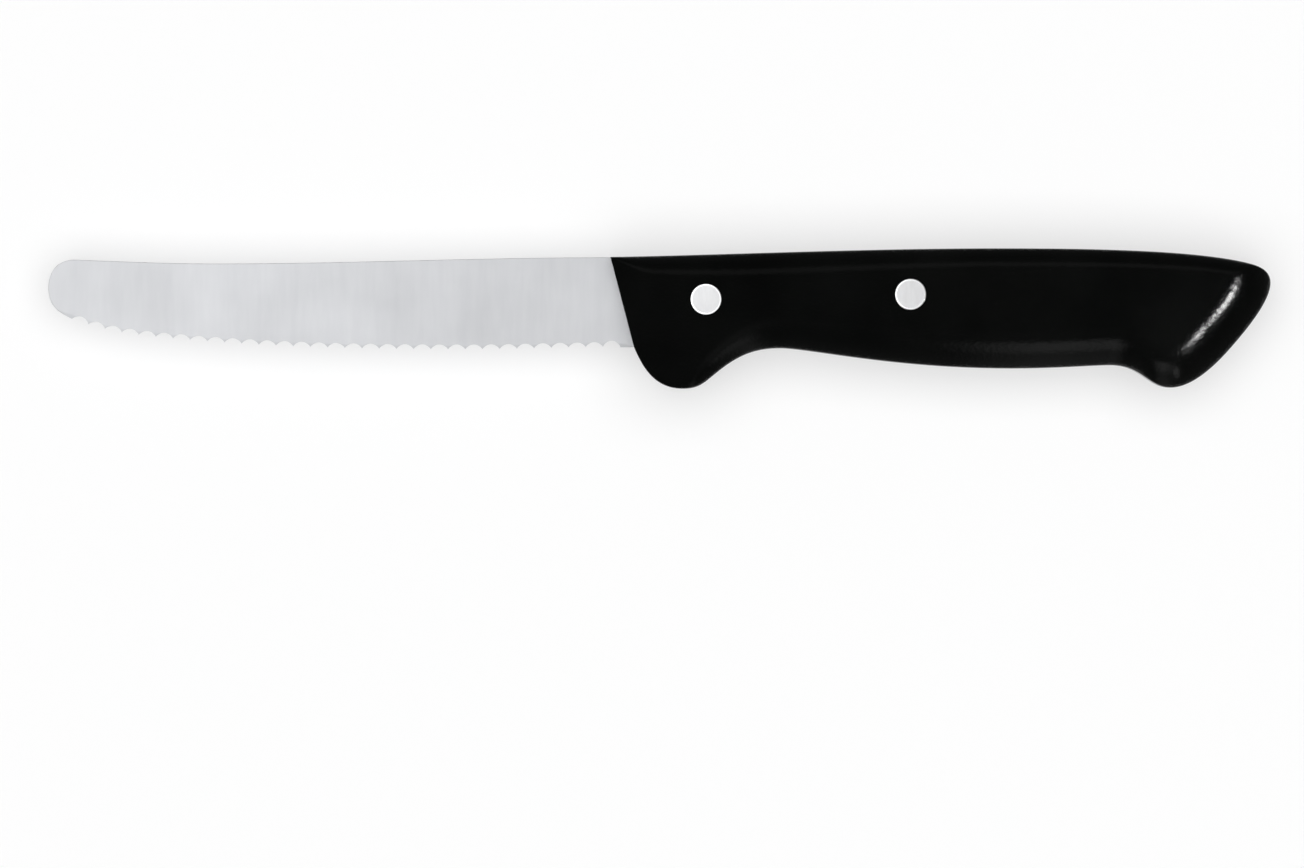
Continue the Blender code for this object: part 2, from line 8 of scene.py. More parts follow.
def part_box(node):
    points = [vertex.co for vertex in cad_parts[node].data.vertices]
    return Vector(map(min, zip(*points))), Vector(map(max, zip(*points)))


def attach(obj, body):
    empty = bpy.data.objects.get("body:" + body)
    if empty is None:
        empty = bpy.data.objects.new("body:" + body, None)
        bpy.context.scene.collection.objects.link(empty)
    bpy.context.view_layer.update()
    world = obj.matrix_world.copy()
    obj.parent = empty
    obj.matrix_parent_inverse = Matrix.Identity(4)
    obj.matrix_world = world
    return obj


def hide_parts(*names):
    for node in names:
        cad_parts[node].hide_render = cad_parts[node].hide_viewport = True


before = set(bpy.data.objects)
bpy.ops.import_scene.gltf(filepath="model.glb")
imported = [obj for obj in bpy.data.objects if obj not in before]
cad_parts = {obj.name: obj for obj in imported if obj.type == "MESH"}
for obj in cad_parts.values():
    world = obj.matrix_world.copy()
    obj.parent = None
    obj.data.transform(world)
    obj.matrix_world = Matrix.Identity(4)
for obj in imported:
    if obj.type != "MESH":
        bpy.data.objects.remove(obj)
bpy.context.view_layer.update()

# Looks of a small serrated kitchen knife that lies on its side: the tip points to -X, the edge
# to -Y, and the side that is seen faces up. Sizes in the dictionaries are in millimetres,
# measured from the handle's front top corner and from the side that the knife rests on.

millimetre = 0.001
mergeDistance = 0.0001       # nearer points of an outline are one; in millimetres, like all forms
seamDistance = 0.001         # nearer points count as lying on a line or a mirror plane
uvPerMetre = 10.0
print("frame loaded")


# Building helpers

def headingVector(degrees):
    angle = math.radians(degrees)
    return Vector((math.cos(angle), math.sin(angle), 0.0))


def meshObject(name, bm):
    mesh = bpy.data.meshes.new(name)
    bm.to_mesh(mesh)
    bm.free()
    made = bpy.data.objects.new(name, mesh)
    bpy.context.scene.collection.objects.link(made)
    return made


def evaluatedMesh(source):
    bpy.context.view_layer.update()
    evaluated = source.evaluated_get(bpy.context.evaluated_depsgraph_get())
    return bpy.data.meshes.new_from_object(evaluated)


def drawnPoints(knots, steps, closed=False):
    # Each knot is x, y, heading in degrees, and how far the line keeps to it behind and ahead.
    curve = bpy.data.curves.new("drawnLine", "CURVE")
    curve.dimensions = "3D"
    curve.resolution_u = steps
    spline = curve.splines.new("BEZIER")
    spline.bezier_points.add(len(knots) - 1)
    spline.use_cyclic_u = closed
    for point, (x, y, heading, behind, ahead) in zip(spline.bezier_points, knots):
        point.handle_left_type = "FREE"
        point.handle_right_type = "FREE"
        point.co = (x, y, 0.0)
        point.handle_left = point.co - headingVector(heading) * behind
        point.handle_right = point.co + headingVector(heading) * ahead
    drawn = bpy.data.objects.new("drawnLine", curve)
    bpy.context.scene.collection.objects.link(drawn)
    points = [vertex.co.copy() for vertex in evaluatedMesh(drawn).vertices]
    bpy.data.objects.remove(drawn)
    return points


def ringOf(bm, points):
    ring = [bm.verts.new(point) for point in points]
    return ring, [bm.edges.new(pair) for pair in zip(ring, ring[1:] + ring[:1])]


def roundCorners(bm, corners, radius, steps):
    bmesh.ops.bevel(bm, geom=corners, offset=radius, offset_type="OFFSET", segments=steps,
                    profile=0.5, affect="VERTICES", material=-1)


def spun(bm, profile, place, steps):
    # A profile of x and z turned about an upright axis at the place.
    centre = Vector((place[0], place[1], 0.0))
    line = [bm.verts.new(centre + Vector((x, 0.0, z))) for x, z in profile]
    edges = [bm.edges.new(pair) for pair in zip(line, line[1:])]
    bmesh.ops.spin(bm, geom=line + edges, cent=centre, axis=(0.0, 0.0, 1.0), dvec=(0.0, 0.0, 0.0),
                   angle=2 * math.pi, steps=steps, use_merge=True, use_duplicate=False)
    bmesh.ops.remove_doubles(bm, verts=bm.verts, dist=mergeDistance)
    bmesh.ops.recalc_face_normals(bm, faces=bm.faces)


def carve(piece, cutter, selfCrossing=False):
    # Takes the cutter out of the piece for good.
    boolean = piece.modifiers.new("carve", "BOOLEAN")
    boolean.operation = "DIFFERENCE"
    boolean.solver = "EXACT"
    boolean.use_self = selfCrossing
    boolean.object = cutter
    carved = evaluatedMesh(piece)
    piece.modifiers.clear()
    piece.data = carved
    bpy.data.objects.remove(cutter)


# Handle

handleForm = {
    "length": 114.9,
    "thickness": 14.0,
    "frontRound": 0.3,
    "roundTilt": 45.0,       # degrees from the flat side, where the wide rounding ends
    "rimRadius": 0.6,        # corner from there to the upright band along the outline
    "steps": 24,             # outline points between two knots
    "roundSteps": 20,
    "rimSteps": 8,
    "sharpAngle": 30.0,      # degrees; steeper edges are shaded sharp
    # x, y, heading, keeps to it behind and ahead; then for the shoulder line, where the flat
    # side turns into the rounding: how far in, towards the right of which heading, and its own
    "knots": [
        (0.0, 0.0, 1.6, 0.0, 2.6, 0.0, 1.6, -24.0),                     # front top corner
        (7.8, 0.2, 1.5, 2.6, 20.0, 3.6, 1.5, -3.0),                     # back
        (67.9, 1.53, 0.0, 21.0, 15.7, 3.6, 0.0, 0.0),                   # crown
        (111.46, -1.17, -15.5, 9.0, 1.5, 4.4, -61.0, -9.0),             # butt corner
        (114.9, -4.44, -90.0, 2.1, 3.0, 7.6, -90.0, -121.0),            # butt end
        (107.98, -15.76, -131.2, 5.0, 4.3, 7.6, -131.2, -136.0),        # butt slope
        (97.52, -22.69, -180.0, 3.7, 4.0, 7.2, -180.0, -176.0),         # hook
        (87.06, -18.78, -180.0, 5.5, 3.0, 7.6, -180.0, -180.0),         # waist
        (69.63, -19.35, -180.0, 8.5, 20.5, 7.6, -180.0, -180.0),        # belly
        (29.54, -15.83, -180.0, 5.0, 4.0, 6.4, -180.0, -176.0),         # neck
        (19.09, -19.61, -142.0, 4.5, 3.5, 4.2, -142.0, -135.0),         # back of the guard
        (12.64, -22.88, -180.0, 3.0, 4.8, 0.7, -180.0, -165.0),         # guard
        (4.094, -15.65, 113.0, 4.2, 0.0, 0.3, 113.0, 113.0),            # heel
    ],
}
lowestKnot = min(knot[1] for knot in handleForm["knots"])
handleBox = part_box("handle")
knifeOrigin = Vector((handleBox[1].x - handleForm["length"] * millimetre,
                      handleBox[0].y - lowestKnot * millimetre, 0.0))
middle = handleForm["thickness"] / 2


def shoulderKnots(knots):
    # The outline's knots moved in, with reaches stretched as the stretches between them are.
    moved = [Vector((x, y, 0.0)) + headingVector(across - 90.0) * width
             for x, y, _, _, _, width, across, _ in knots]
    stretch = [1.0]
    for index in range(len(knots) - 1):
        outer = math.dist(knots[index][:2], knots[index + 1][:2])
        stretch.append((moved[index + 1] - moved[index]).length / outer)
    stretch.append(1.0)
    shifted = []
    for index, (_, _, _, behind, ahead, _, _, heading) in enumerate(knots):
        shifted.append((moved[index].x, moved[index].y, heading,
                        behind * stretch[index], ahead * stretch[index + 1]))
    return shifted


def rounding(form, width):
    # From the outline in to the shoulder line: the small corner and then the wide rounding, as
    # the share of the width that is left to go and the depth below the flat side.
    limit = math.radians(form["roundTilt"])
    corner = min(form["rimRadius"], width / 2)
    radius = (width - corner * (1.0 - math.sin(limit))) / math.sin(limit)
    profile = []
    for step in range(form["rimSteps"]):
        tilt = math.pi / 2 + (limit - math.pi / 2) * step / form["rimSteps"]
        across = radius * math.sin(limit) + corner * (math.sin(tilt) - math.sin(limit))
        depth = radius * (1.0 - math.cos(limit)) + corner * (math.cos(limit) - math.cos(tilt))
        profile.append((across / width, depth))
    for step in range(form["roundSteps"] + 1):
        tilt = limit * (1.0 - step / form["roundSteps"])
        profile.append((radius * math.sin(tilt) / width, radius * (1.0 - math.cos(tilt))))
    return profile


def handleShell(form):
    # Half of the shell grows ring by ring from the outline to the flat side and is mirrored.
    rim = drawnPoints([knot[:5] for knot in form["knots"]], form["steps"], True)
    shoulder = drawnPoints(shoulderKnots(form["knots"]), form["steps"], True)
    bm = bmesh.new()
    rimAt = bm.verts.layers.float_vector.new("rimAt")
    flatAt = bm.verts.layers.float_vector.new("flatAt")
    squareWidth = bm.verts.layers.float.new("squareWidth")
    ring, edges = ringOf(bm, rim)
    befores = rim[-1:] + rim[:-1]
    afters = rim[1:] + rim[:1]
    for vertex, before, rimPoint, after, flatPoint in zip(ring, befores, rim, afters, shoulder):
        along = (after - before).normalized()
        vertex[rimAt] = rimPoint
        vertex[flatAt] = flatPoint
        vertex[squareWidth] = max(along.cross(flatPoint - rimPoint).length, form["frontRound"])
    for step in range(form["rimSteps"] + form["roundSteps"] + 1):
        grown = bmesh.ops.extrude_edge_only(bm, edges=edges)["geom"]
        ring = {item for item in grown if isinstance(item, bmesh.types.BMVert)}
        edges = [item for item in grown
                 if isinstance(item, bmesh.types.BMEdge) and ring.issuperset(item.verts)]
        for vertex in ring:
            share, depth = rounding(form, vertex[squareWidth])[step]
            vertex.co = vertex[flatAt].lerp(vertex[rimAt], share)
            vertex.co.z = middle - depth
    bmesh.ops.contextual_create(bm, geom=edges)
    bmesh.ops.mirror(bm, geom=bm.verts[:] + bm.edges[:] + bm.faces[:], matrix=Matrix.Identity(4),
                     merge_dist=seamDistance, axis="Z")
    bmesh.ops.recalc_face_normals(bm, faces=bm.faces)
    bmesh.ops.translate(bm, verts=bm.verts, vec=(0.0, 0.0, middle))
    return meshObject("mouldedHandle", bm)


# Tang and its slot

tangForm = {
    "end": 60.2,
    "endTop": 1.50,          # the handle's back there
    "depth": 12.04,
    "shoulder": 8.5,
    "heelDepth": 15.65,
    "endRadius": 3.0,
    "shoulderRadius": 1.2,
    "cornerSteps": 8,
    "fit": 0.06,             # room left round it in the handle
    "cutterReach": 3.0,      # how far the slot's cutter stands out of the handle
}


def thicken(bm, half):
    # A flat outline becomes a plate centred on the knife's middle plane.
    bmesh.ops.translate(bm, verts=bm.verts, vec=(0.0, 0.0, middle - half))
    grown = bmesh.ops.extrude_face_region(bm, geom=bm.faces[:], use_keep_orig=True)["geom"]
    lifted = [item for item in grown if isinstance(item, bmesh.types.BMVert)]
    bmesh.ops.translate(bm, verts=lifted, vec=(0.0, 0.0, 2 * half))
    bmesh.ops.recalc_face_normals(bm, faces=bm.faces)


def tangSlot(form, halfThickness):
    # Open at the front and along the back.
    reach = form["cutterReach"]
    fit = form["fit"]
    end = form["end"] + fit
    shoulder = form["shoulder"] + fit
    depth = -form["depth"] - fit
    heelDepth = -form["heelDepth"] - fit
    bm = bmesh.new()
    ring, edges = ringOf(bm, [(-reach, reach, 0.0), (end, reach, 0.0), (end, depth, 0.0),
                              (shoulder, depth, 0.0), (shoulder, heelDepth, 0.0),
                              (-reach, heelDepth, 0.0)])
    bmesh.ops.contextual_create(bm, geom=edges)
    roundCorners(bm, [ring[2]], form["endRadius"], form["cornerSteps"])
    roundCorners(bm, [ring[3]], form["shoulderRadius"], form["cornerSteps"])
    roundCorners(bm, [ring[4]], form["shoulderRadius"], form["cornerSteps"])
    thicken(bm, halfThickness + fit)
    return meshObject("tangSlot", bm)


# Blade

bladeForm = {
    "thickness": 1.5,
    "edgeThickness": 0.6,
    "slant": math.tan(math.radians(14.66)),     # of the handle's front
    "groundUnder": 0.25,     # how far the ground face runs in under the handle's front
    "plunge": 0.2,           # slope up to the full thickness at its end
    "heel": Vector((4.094, -15.65, 0.0)),
    "flank": Vector((-93.853, -10.7, 0.0)),     # where the scallops end and the tip starts
    "noseFade": (9.2, 1.5),  # the edge bevel runs out over this depth at the tip
    "softEdge": 0.05,        # broken corner round the whole blade
    "softDrop": 0.03,
    "bevelHeight": 0.7,
    "bevelAngle": 5.0,
    "spine": [(-93.853, -0.4, -2.0, 0.0, 8.6), (-68.853, -1.1, 0.0, 8.3, 22.9),
              (0.0, 0.0, 0.0, 23.5, 0.0)],
    "tip": [(-93.853, -10.7, 153.0, 0.0, 2.0), (-97.953, -5.4, 90.0, 3.4, 2.5),
            (-93.853, -0.4, 6.0, 3.0, 0.0)],
    # the scalloped edge; it starts 2.4 in front of the heel, and the stretch between is plain
    "edge": [(1.694, -15.65, 180.0, 0.0, 9.1), (-25.5, -16.1, 180.0, 9.5, 18.7),
             (-79.353, -13.9, 174.3, 18.0, 5.2), (-93.853, -10.7, 158.0, 5.2, 0.0)],
    "steps": 40,
    "faceUpright": 0.99,     # the sheet's two faces have a normal at least this upright
    "sharpAngle": 4.5,
}
scallopForm = {
    "count": 32,
    "depth": 0.9,
    "heelDepth": 1.1,        # the one next to the heel
    "lip": 0.03,             # taken off the blank between two scallops
    "lean": 17.0,            # degrees between a flute and the blade's face
    "segments": 96,
    "halfLength": 8.0,
    "reach": 4.0,            # how far the wheel clears what lies outside the edge
    "margin": 0.01,          # keeps the two points level with a flute's centre where they are
}


def groundHalf(form, point):
    # Half the thickness after grinding: thinnest from the heel to the tip's flank.
    along = (form["flank"] - form["heel"]).normalized()
    up = Vector((along.y, -along.x, 0.0))
    rise = (form["thickness"] - form["edgeThickness"]) / 2 / -form["heel"].dot(up)
    return form["edgeThickness"] / 2 + rise * (point - form["heel"]).dot(up)


def bladeBlank(form, tang):
    # The stamped outline: tang, heel, edge, tip and spine.
    backKnots = [knot[:5] for knot in handleForm["knots"][:4]]
    back = [point for point in drawnPoints(backKnots, form["steps"])
            if point.x < tang["end"] - tang["endRadius"]]
    corners = [Vector((tang["end"], tang["endTop"], 0.0)),
               Vector((tang["end"], -tang["depth"], 0.0)),
               Vector((tang["shoulder"], -tang["depth"], 0.0)),
               Vector((tang["shoulder"], -tang["heelDepth"], 0.0))]
    edge = drawnPoints(form["edge"], form["steps"])
    tip = drawnPoints(form["tip"], form["steps"])
    spine = drawnPoints(form["spine"], form["steps"])
    bm = bmesh.new()
    ring, edges = ringOf(bm, back + corners + edge + tip[1:] + spine[1:-1])
    bmesh.ops.contextual_create(bm, geom=edges)
    tangCorners = ring[len(back) + 1:len(back) + 4]
    roundCorners(bm, tangCorners[:1], tang["endRadius"], tang["cornerSteps"])
    roundCorners(bm, tangCorners[1:], tang["shoulderRadius"], tang["cornerSteps"])
    thicken(bm, form["thickness"] / 2)
    for reach in (form["groundUnder"], form["groundUnder"] - form["plunge"]):
        bmesh.ops.bisect_plane(bm, geom=bm.verts[:] + bm.edges[:] + bm.faces[:],
                               dist=mergeDistance, plane_co=(reach, 0.0, 0.0),
                               plane_no=(1.0, form["slant"], 0.0))
    return bm


def edgeShare(form, point):
    # 1 along the scalloped edge, running out round the tip, and 0 elsewhere.
    if point.x > form["edge"][0][0] + seamDistance:
        return 0.0
    start, depth = form["noseFade"]
    return min(max((-point.y - start) / depth, 0.0), 1.0)


def grindSide(bm, form, side):
    # Breaks the corners of one face, lays the edge bevel and thins the face towards the edge.
    faces = [face for face in bm.faces if face.normal.z * side > form["faceUpright"]]
    border = bmesh.ops.inset_region(bm, faces=faces, thickness=form["bevelHeight"],
                                    use_boundary=True, use_even_offset=True)["faces"]
    inner = {vertex for face in faces for vertex in face.verts}
    bevelDrop = form["bevelHeight"] * math.tan(math.radians(form["bevelAngle"]))
    drops = {}
    for face in border:
        for link in face.edges:
            ends = [vertex for vertex in link.verts if vertex in inner]
            if len(ends) == 1 and ends[0] not in drops:
                outer = link.other_vert(ends[0])
                share = edgeShare(form, outer.co) if side > 0 else 0.0
                width = form["softEdge"] + (form["bevelHeight"] - form["softEdge"]) * share
                ends[0].co = outer.co.lerp(ends[0].co, width / form["bevelHeight"])
                drops[ends[0]] = 0.0
                drops[outer] = form["softDrop"] + (bevelDrop - form["softDrop"]) * share
    for vertex in inner.union(drops):
        ahead = form["groundUnder"] - vertex.co.x - vertex.co.y * form["slant"]
        share = min(max(ahead / form["plunge"], 0.0), 1.0)
        half = form["thickness"] / 2 * (1.0 - share) + groundHalf(form, vertex.co) * share
        vertex.co.z = middle + side * (half - drops.get(vertex, 0.0))


def flutes(blade, form):
    # One cylinder for each rib of the grinding wheel, laid over towards the far side.
    path = drawnPoints(blade["edge"], blade["steps"])
    travelled = [0.0]
    for start, end in zip(path, path[1:]):
        travelled.append(travelled[-1] + (end - start).length)
    pitch = travelled[-1] / form["count"]
    lean = math.radians(form["lean"])
    bevelDrop = (blade["bevelHeight"] - form["lip"]) * math.tan(math.radians(blade["bevelAngle"]))
    bm = bmesh.new()
    for number in range(form["count"]):
        distance = (number + 0.5) * pitch
        index = next(i for i, value in enumerate(travelled) if value > distance)
        gone = (distance - travelled[index - 1]) / (travelled[index] - travelled[index - 1])
        point = path[index - 1].lerp(path[index], gone)
        share = edgeShare(blade, point)
        along = (path[index] - path[index - 1]).normalized()
        up = Vector((along.y, -along.x, 0.0))
        depth = form["heelDepth"] if number == 0 else form["depth"]
        radius = (pitch ** 2 / 4 + depth ** 2) / (2 * depth)
        root = point + up * (depth + form["lip"])
        root.z = middle + groundHalf(blade, root)
        axis = up * math.cos(lean) - Vector((0.0, 0.0, math.sin(lean)))
        across = up * math.sin(lean) + Vector((0.0, 0.0, math.cos(lean)))
        flatness = math.sin(lean) + share * bevelDrop * math.cos(lean) / depth
        turn = Matrix((along * radius, across * radius * flatness, axis)).transposed().to_4x4()
        # Made with a radius of 1 and its root line on the axis; the outer half is drawn out.
        made = bmesh.ops.create_cone(bm, cap_ends=True, cap_tris=False, segments=form["segments"],
                                     radius1=1.0, radius2=1.0,
                                     depth=2 * form["halfLength"])["verts"]
        bmesh.ops.translate(bm, verts=made, vec=(0.0, -1.0, 0.0))
        outer = [vertex for vertex in made if vertex.co.y < -1.0 - form["margin"]]
        bmesh.ops.translate(bm, verts=outer, vec=(0.0, -form["reach"] / radius / flatness, 0.0))
        bmesh.ops.transform(bm, verts=made, matrix=Matrix.Translation(root) @ turn)
    bmesh.ops.recalc_face_normals(bm, faces=bm.faces)
    return meshObject("flutes", bm)


# Rivets

rivetForm = {
    "places": {"front": (16.63, -7.34), "rear": (52.20, -6.48)},
    "headRadius": 2.7,
    "headHeight": 1.8,
    "rimWidth": 0.30,        # polished ring round the satin head
    "rimDrop": 0.008,
    "rolledEdge": 0.08,
    "rolledSteps": 5,
    "sleeveRadius": 1.7,
    "shankRadius": 1.0,
    "floor": 1.0,            # closes the sleeve on the far side
    "fit": 0.03,
    "steps": 96,
    "sharpAngle": 30.0,
    "cutterReach": 2.0,      # how far the bores' cutters stand out
}


def rivetBore(form, place):
    reach = form["cutterReach"]
    head = form["headRadius"] + form["fit"]
    body = form["sleeveRadius"] + form["fit"]
    shelf = form["headHeight"] + form["fit"]
    top = handleForm["thickness"]
    bm = bmesh.new()
    spun(bm, [(0.0, top + reach), (head, top + reach), (head, top - shelf), (body, top - shelf),
              (body, shelf), (head, shelf), (head, -reach), (0.0, -reach)], place, form["steps"])
    return meshObject("rivetBore", bm)


def tangBore(form, place):
    top = middle + form["cutterReach"]
    bottom = middle - form["cutterReach"]
    body = form["sleeveRadius"] + form["fit"]
    bm = bmesh.new()
    spun(bm, [(0.0, top), (body, top), (body, bottom), (0.0, bottom)], place, form["steps"])
    return meshObject("tangBore", bm)


def polishRim(bm, height, place, form):
    # Rounds the head's outer corner and marks the ring round its face.
    centre = Vector(place)
    near = 0.01              # room for rounding errors

    def onRing(item, depth, radius):
        return all(abs(vertex.co.z - height) < depth + near
                   and (vertex.co.xy - centre).length > radius - near for vertex in item.verts)

    corner = [edge for edge in bm.edges if onRing(edge, 0.0, form["headRadius"])]
    bmesh.ops.bevel(bm, geom=corner, offset=form["rolledEdge"], offset_type="OFFSET",
                    segments=form["rolledSteps"], profile=0.5, affect="EDGES", material=-1)
    rim = bm.faces.layers.float.new("rim")
    for face in bm.faces:
        face[rim] = float(onRing(face, form["rolledEdge"], form["headRadius"] - form["rimWidth"]))


def rivetPost(form, name, place):
    top = handleForm["thickness"]
    corner = top - form["rimDrop"]
    under = top - form["headHeight"]
    foot = form["floor"] + form["fit"]
    head = form["headRadius"]
    shank = form["shankRadius"]
    bm = bmesh.new()
    spun(bm, [(0.0, top), (head - form["rimWidth"], top), (head, corner), (head, under),
              (shank, under), (shank, foot), (0.0, foot)], place, form["steps"])
    polishRim(bm, corner, place, form)
    return meshObject(name + "RivetPost", bm)


def rivetSleeve(form, name, place):
    mouth = handleForm["thickness"] - form["headHeight"] - form["fit"]
    floor = form["floor"]
    corner = form["rimDrop"]
    bore = form["shankRadius"] + form["fit"]
    sleeve = form["sleeveRadius"]
    head = form["headRadius"]
    bm = bmesh.new()
    spun(bm, [(0.0, floor), (bore, floor), (bore, mouth), (sleeve, mouth),
              (sleeve, form["headHeight"]), (head, form["headHeight"]), (head, corner),
              (head - form["rimWidth"], 0.0), (0.0, 0.0)], place, form["steps"])
    polishRim(bm, corner, place, form)
    return meshObject(name + "RivetSleeve", bm)


# Materials

def addNode(tree, kind, inputs=None, **settings):
    # Inputs are values, or sockets to link from.
    node = tree.nodes.new(kind)
    for name, value in settings.items():
        setattr(node, name, value)
    for name, value in (inputs or {}).items():
        if isinstance(value, bpy.types.NodeSocket):
            tree.links.new(value, node.inputs[name])
        else:
            node.inputs[name].default_value = value
    return node


def newGroup(name, inputs, outputs):
    # Returns the group, the sockets that its nodes take from and the sockets that they fill.
    group = bpy.data.node_groups.new(name, "ShaderNodeTree")
    for socket, (kind, value) in inputs.items():
        made = group.interface.new_socket(socket, in_out="INPUT", socket_type=kind)
        if value is not None:
            made.default_value = value
    for socket in outputs:
        group.interface.new_socket(socket, in_out="OUTPUT", socket_type="NodeSocketFloat")
    given = group.nodes.new("NodeGroupInput").outputs
    result = group.nodes.new("NodeGroupOutput").inputs
    return group, given, result


def grindMarksGroup():
    # Straight grinding lines: fine ones for the bump and broad bands for the tone.
    group, given, result = newGroup("grindMarks", {
        "Vector": ("NodeSocketVector", None), "Line Width": ("NodeSocketFloat", 0.0002),
        "Line Length": ("NodeSocketFloat", 0.02), "Band Width": ("NodeSocketFloat", 0.003)},
        ["Lines", "Bands"])
    for output, width, detail in (("Lines", "Line Width", 4.0), ("Bands", "Band Width", 2.0)):
        across = addNode(group, "ShaderNodeMath", {0: 1.0, 1: given[width]},
                         operation="DIVIDE").outputs[0]
        along = addNode(group, "ShaderNodeMath", {0: 1.0, 1: given["Line Length"]},
                        operation="DIVIDE").outputs[0]
        scale = addNode(group, "ShaderNodeCombineXYZ", {"X": across, "Y": along, "Z": along})
        stretched = addNode(group, "ShaderNodeVectorMath",
                            {0: given["Vector"], 1: scale.outputs[0]}, operation="MULTIPLY")
        noise = addNode(group, "ShaderNodeTexNoise", {
            "Vector": stretched.outputs[0], "Scale": 1.0, "Detail": detail, "Roughness": 0.65})
        group.links.new(noise.outputs[0], result[output])
    return group


def handlingMarksGroup():
    # Soft clouds where hands and cloths have been, and a fine skin of pits.
    group, given, result = newGroup("handlingMarks", {
        "Vector": ("NodeSocketVector", None), "Cloud Size": ("NodeSocketFloat", 0.012),
        "Grain Size": ("NodeSocketFloat", 0.0003)}, ["Clouds", "Grain"])
    for output, size, detail in (("Clouds", "Cloud Size", 3.0), ("Grain", "Grain Size", 2.0)):
        scale = addNode(group, "ShaderNodeMath", {0: 1.0, 1: given[size]}, operation="DIVIDE")
        noise = addNode(group, "ShaderNodeTexNoise", {
            "Vector": given["Vector"], "Scale": scale.outputs[0], "Detail": detail,
            "Roughness": 0.55})
        group.links.new(noise.outputs[0], result[output])
    return group


def newMaterial(name):
    material = bpy.data.materials.new(name)
    material.use_nodes = True
    tree = material.node_tree
    return material, tree, tree.nodes["Principled BSDF"], addNode(tree, "ShaderNodeTexCoord")


def mapped(tree, value, low, high):
    # Noise seldom leaves the middle, so that is spread over the whole span.
    return addNode(tree, "ShaderNodeMapRange", {
        "Value": value, "From Min": 0.3, "From Max": 0.7, "To Min": low, "To Max": high}).outputs[0]


def mixedColour(tree, share, first, second):
    # The mix node's colour sockets have the numbers 6 and 7, and 2 on its right side.
    mix = addNode(tree, "ShaderNodeMix", {0: share, 6: first, 7: second}, data_type="RGBA")
    return mix.outputs[2]


# Colours are linear; widths, lengths, sizes and bumps are in metres.
steelLook = {
    "dark": (0.672, 0.680, 0.700, 1.0),
    "light": (0.700, 0.708, 0.726, 1.0),
    "roughness": (0.53, 0.57),
    "anisotropy": 0.35,
    "lineWidth": 0.00022,
    "lineLength": 0.012,
    "bandWidth": 0.0016,
    "bump": 0.0000016,
}
rivetLook = {
    "dark": (0.80, 0.803, 0.812, 1.0),
    "light": (0.85, 0.854, 0.862, 1.0),
    "roughness": (0.48, 0.54),
    "rimRoughness": 0.22,    # of the polished ring
    "anisotropy": 0.35,
    "lineWidth": 0.00012,
    "lineLength": 0.004,
    "bandWidth": 0.0008,
    "bump": 0.0000008,
}
plasticLook = {
    "dark": (0.0010, 0.0012, 0.0011, 1.0),
    "light": (0.0022, 0.0025, 0.0023, 1.0),
    "roughness": (0.13, 0.17),
    "specular": 0.32,
    "cloudSize": 0.014,
    "grainSize": 0.0007,
    "bump": 0.000032,        # of the grain
    "waveSize": 0.0030,      # broad waves in the skin
    "waveBump": 0.000016,
}


def groundMetal(name, look, marksGroup, handlingGroup):
    material, tree, shader, where = newMaterial(name)
    marks = addNode(tree, "ShaderNodeGroup", {
        "Vector": where.outputs["Object"], "Line Width": look["lineWidth"],
        "Line Length": look["lineLength"], "Band Width": look["bandWidth"]}, node_tree=marksGroup)
    handling = addNode(tree, "ShaderNodeGroup", {"Vector": where.outputs["Object"]},
                       node_tree=handlingGroup)
    banding = mapped(tree, marks.outputs["Bands"], 0.0, 1.0)
    tree.links.new(mixedColour(tree, banding, look["dark"], look["light"]),
                   shader.inputs["Base Color"])
    roughness = mapped(tree, handling.outputs["Clouds"], *look["roughness"])
    if "rimRoughness" in look:
        # Sockets 2 and 3 are the mix node's two plain values.
        rim = addNode(tree, "ShaderNodeAttribute", attribute_name="rim")
        roughness = addNode(tree, "ShaderNodeMix", {
            0: rim.outputs["Fac"], 2: roughness, 3: look["rimRoughness"]}).outputs[0]
    tree.links.new(roughness, shader.inputs["Roughness"])
    bump = addNode(tree, "ShaderNodeBump", {
        "Height": marks.outputs["Lines"], "Distance": look["bump"], "Strength": 1.0})
    tree.links.new(bump.outputs[0], shader.inputs["Normal"])
    tangent = addNode(tree, "ShaderNodeTangent", direction_type="UV_MAP", uv_map="across")
    tree.links.new(tangent.outputs[0], shader.inputs["Tangent"])
    shader.inputs["Anisotropic"].default_value = look["anisotropy"]
    shader.inputs["Metallic"].default_value = 1.0
    return material


def mouldedPlastic(name, look, handlingGroup):
    material, tree, shader, where = newMaterial(name)
    handling = addNode(tree, "ShaderNodeGroup", {
        "Vector": where.outputs["Object"], "Cloud Size": look["cloudSize"],
        "Grain Size": look["grainSize"]}, node_tree=handlingGroup)
    waves = addNode(tree, "ShaderNodeGroup", {
        "Vector": where.outputs["Object"], "Cloud Size": look["waveSize"]}, node_tree=handlingGroup)
    clouding = mapped(tree, handling.outputs["Clouds"], 0.0, 1.0)
    tree.links.new(mixedColour(tree, clouding, look["dark"], look["light"]),
                   shader.inputs["Base Color"])
    roughness = mapped(tree, handling.outputs["Clouds"], *look["roughness"])
    tree.links.new(roughness, shader.inputs["Roughness"])
    wave = addNode(tree, "ShaderNodeBump", {
        "Height": waves.outputs["Clouds"], "Distance": look["waveBump"], "Strength": 1.0})
    grain = addNode(tree, "ShaderNodeBump", {
        "Height": handling.outputs["Grain"], "Distance": look["bump"], "Strength": 1.0,
        "Normal": wave.outputs[0]})
    tree.links.new(grain.outputs[0], shader.inputs["Normal"])
    shader.inputs["Specular IOR Level"].default_value = look["specular"]
    return material


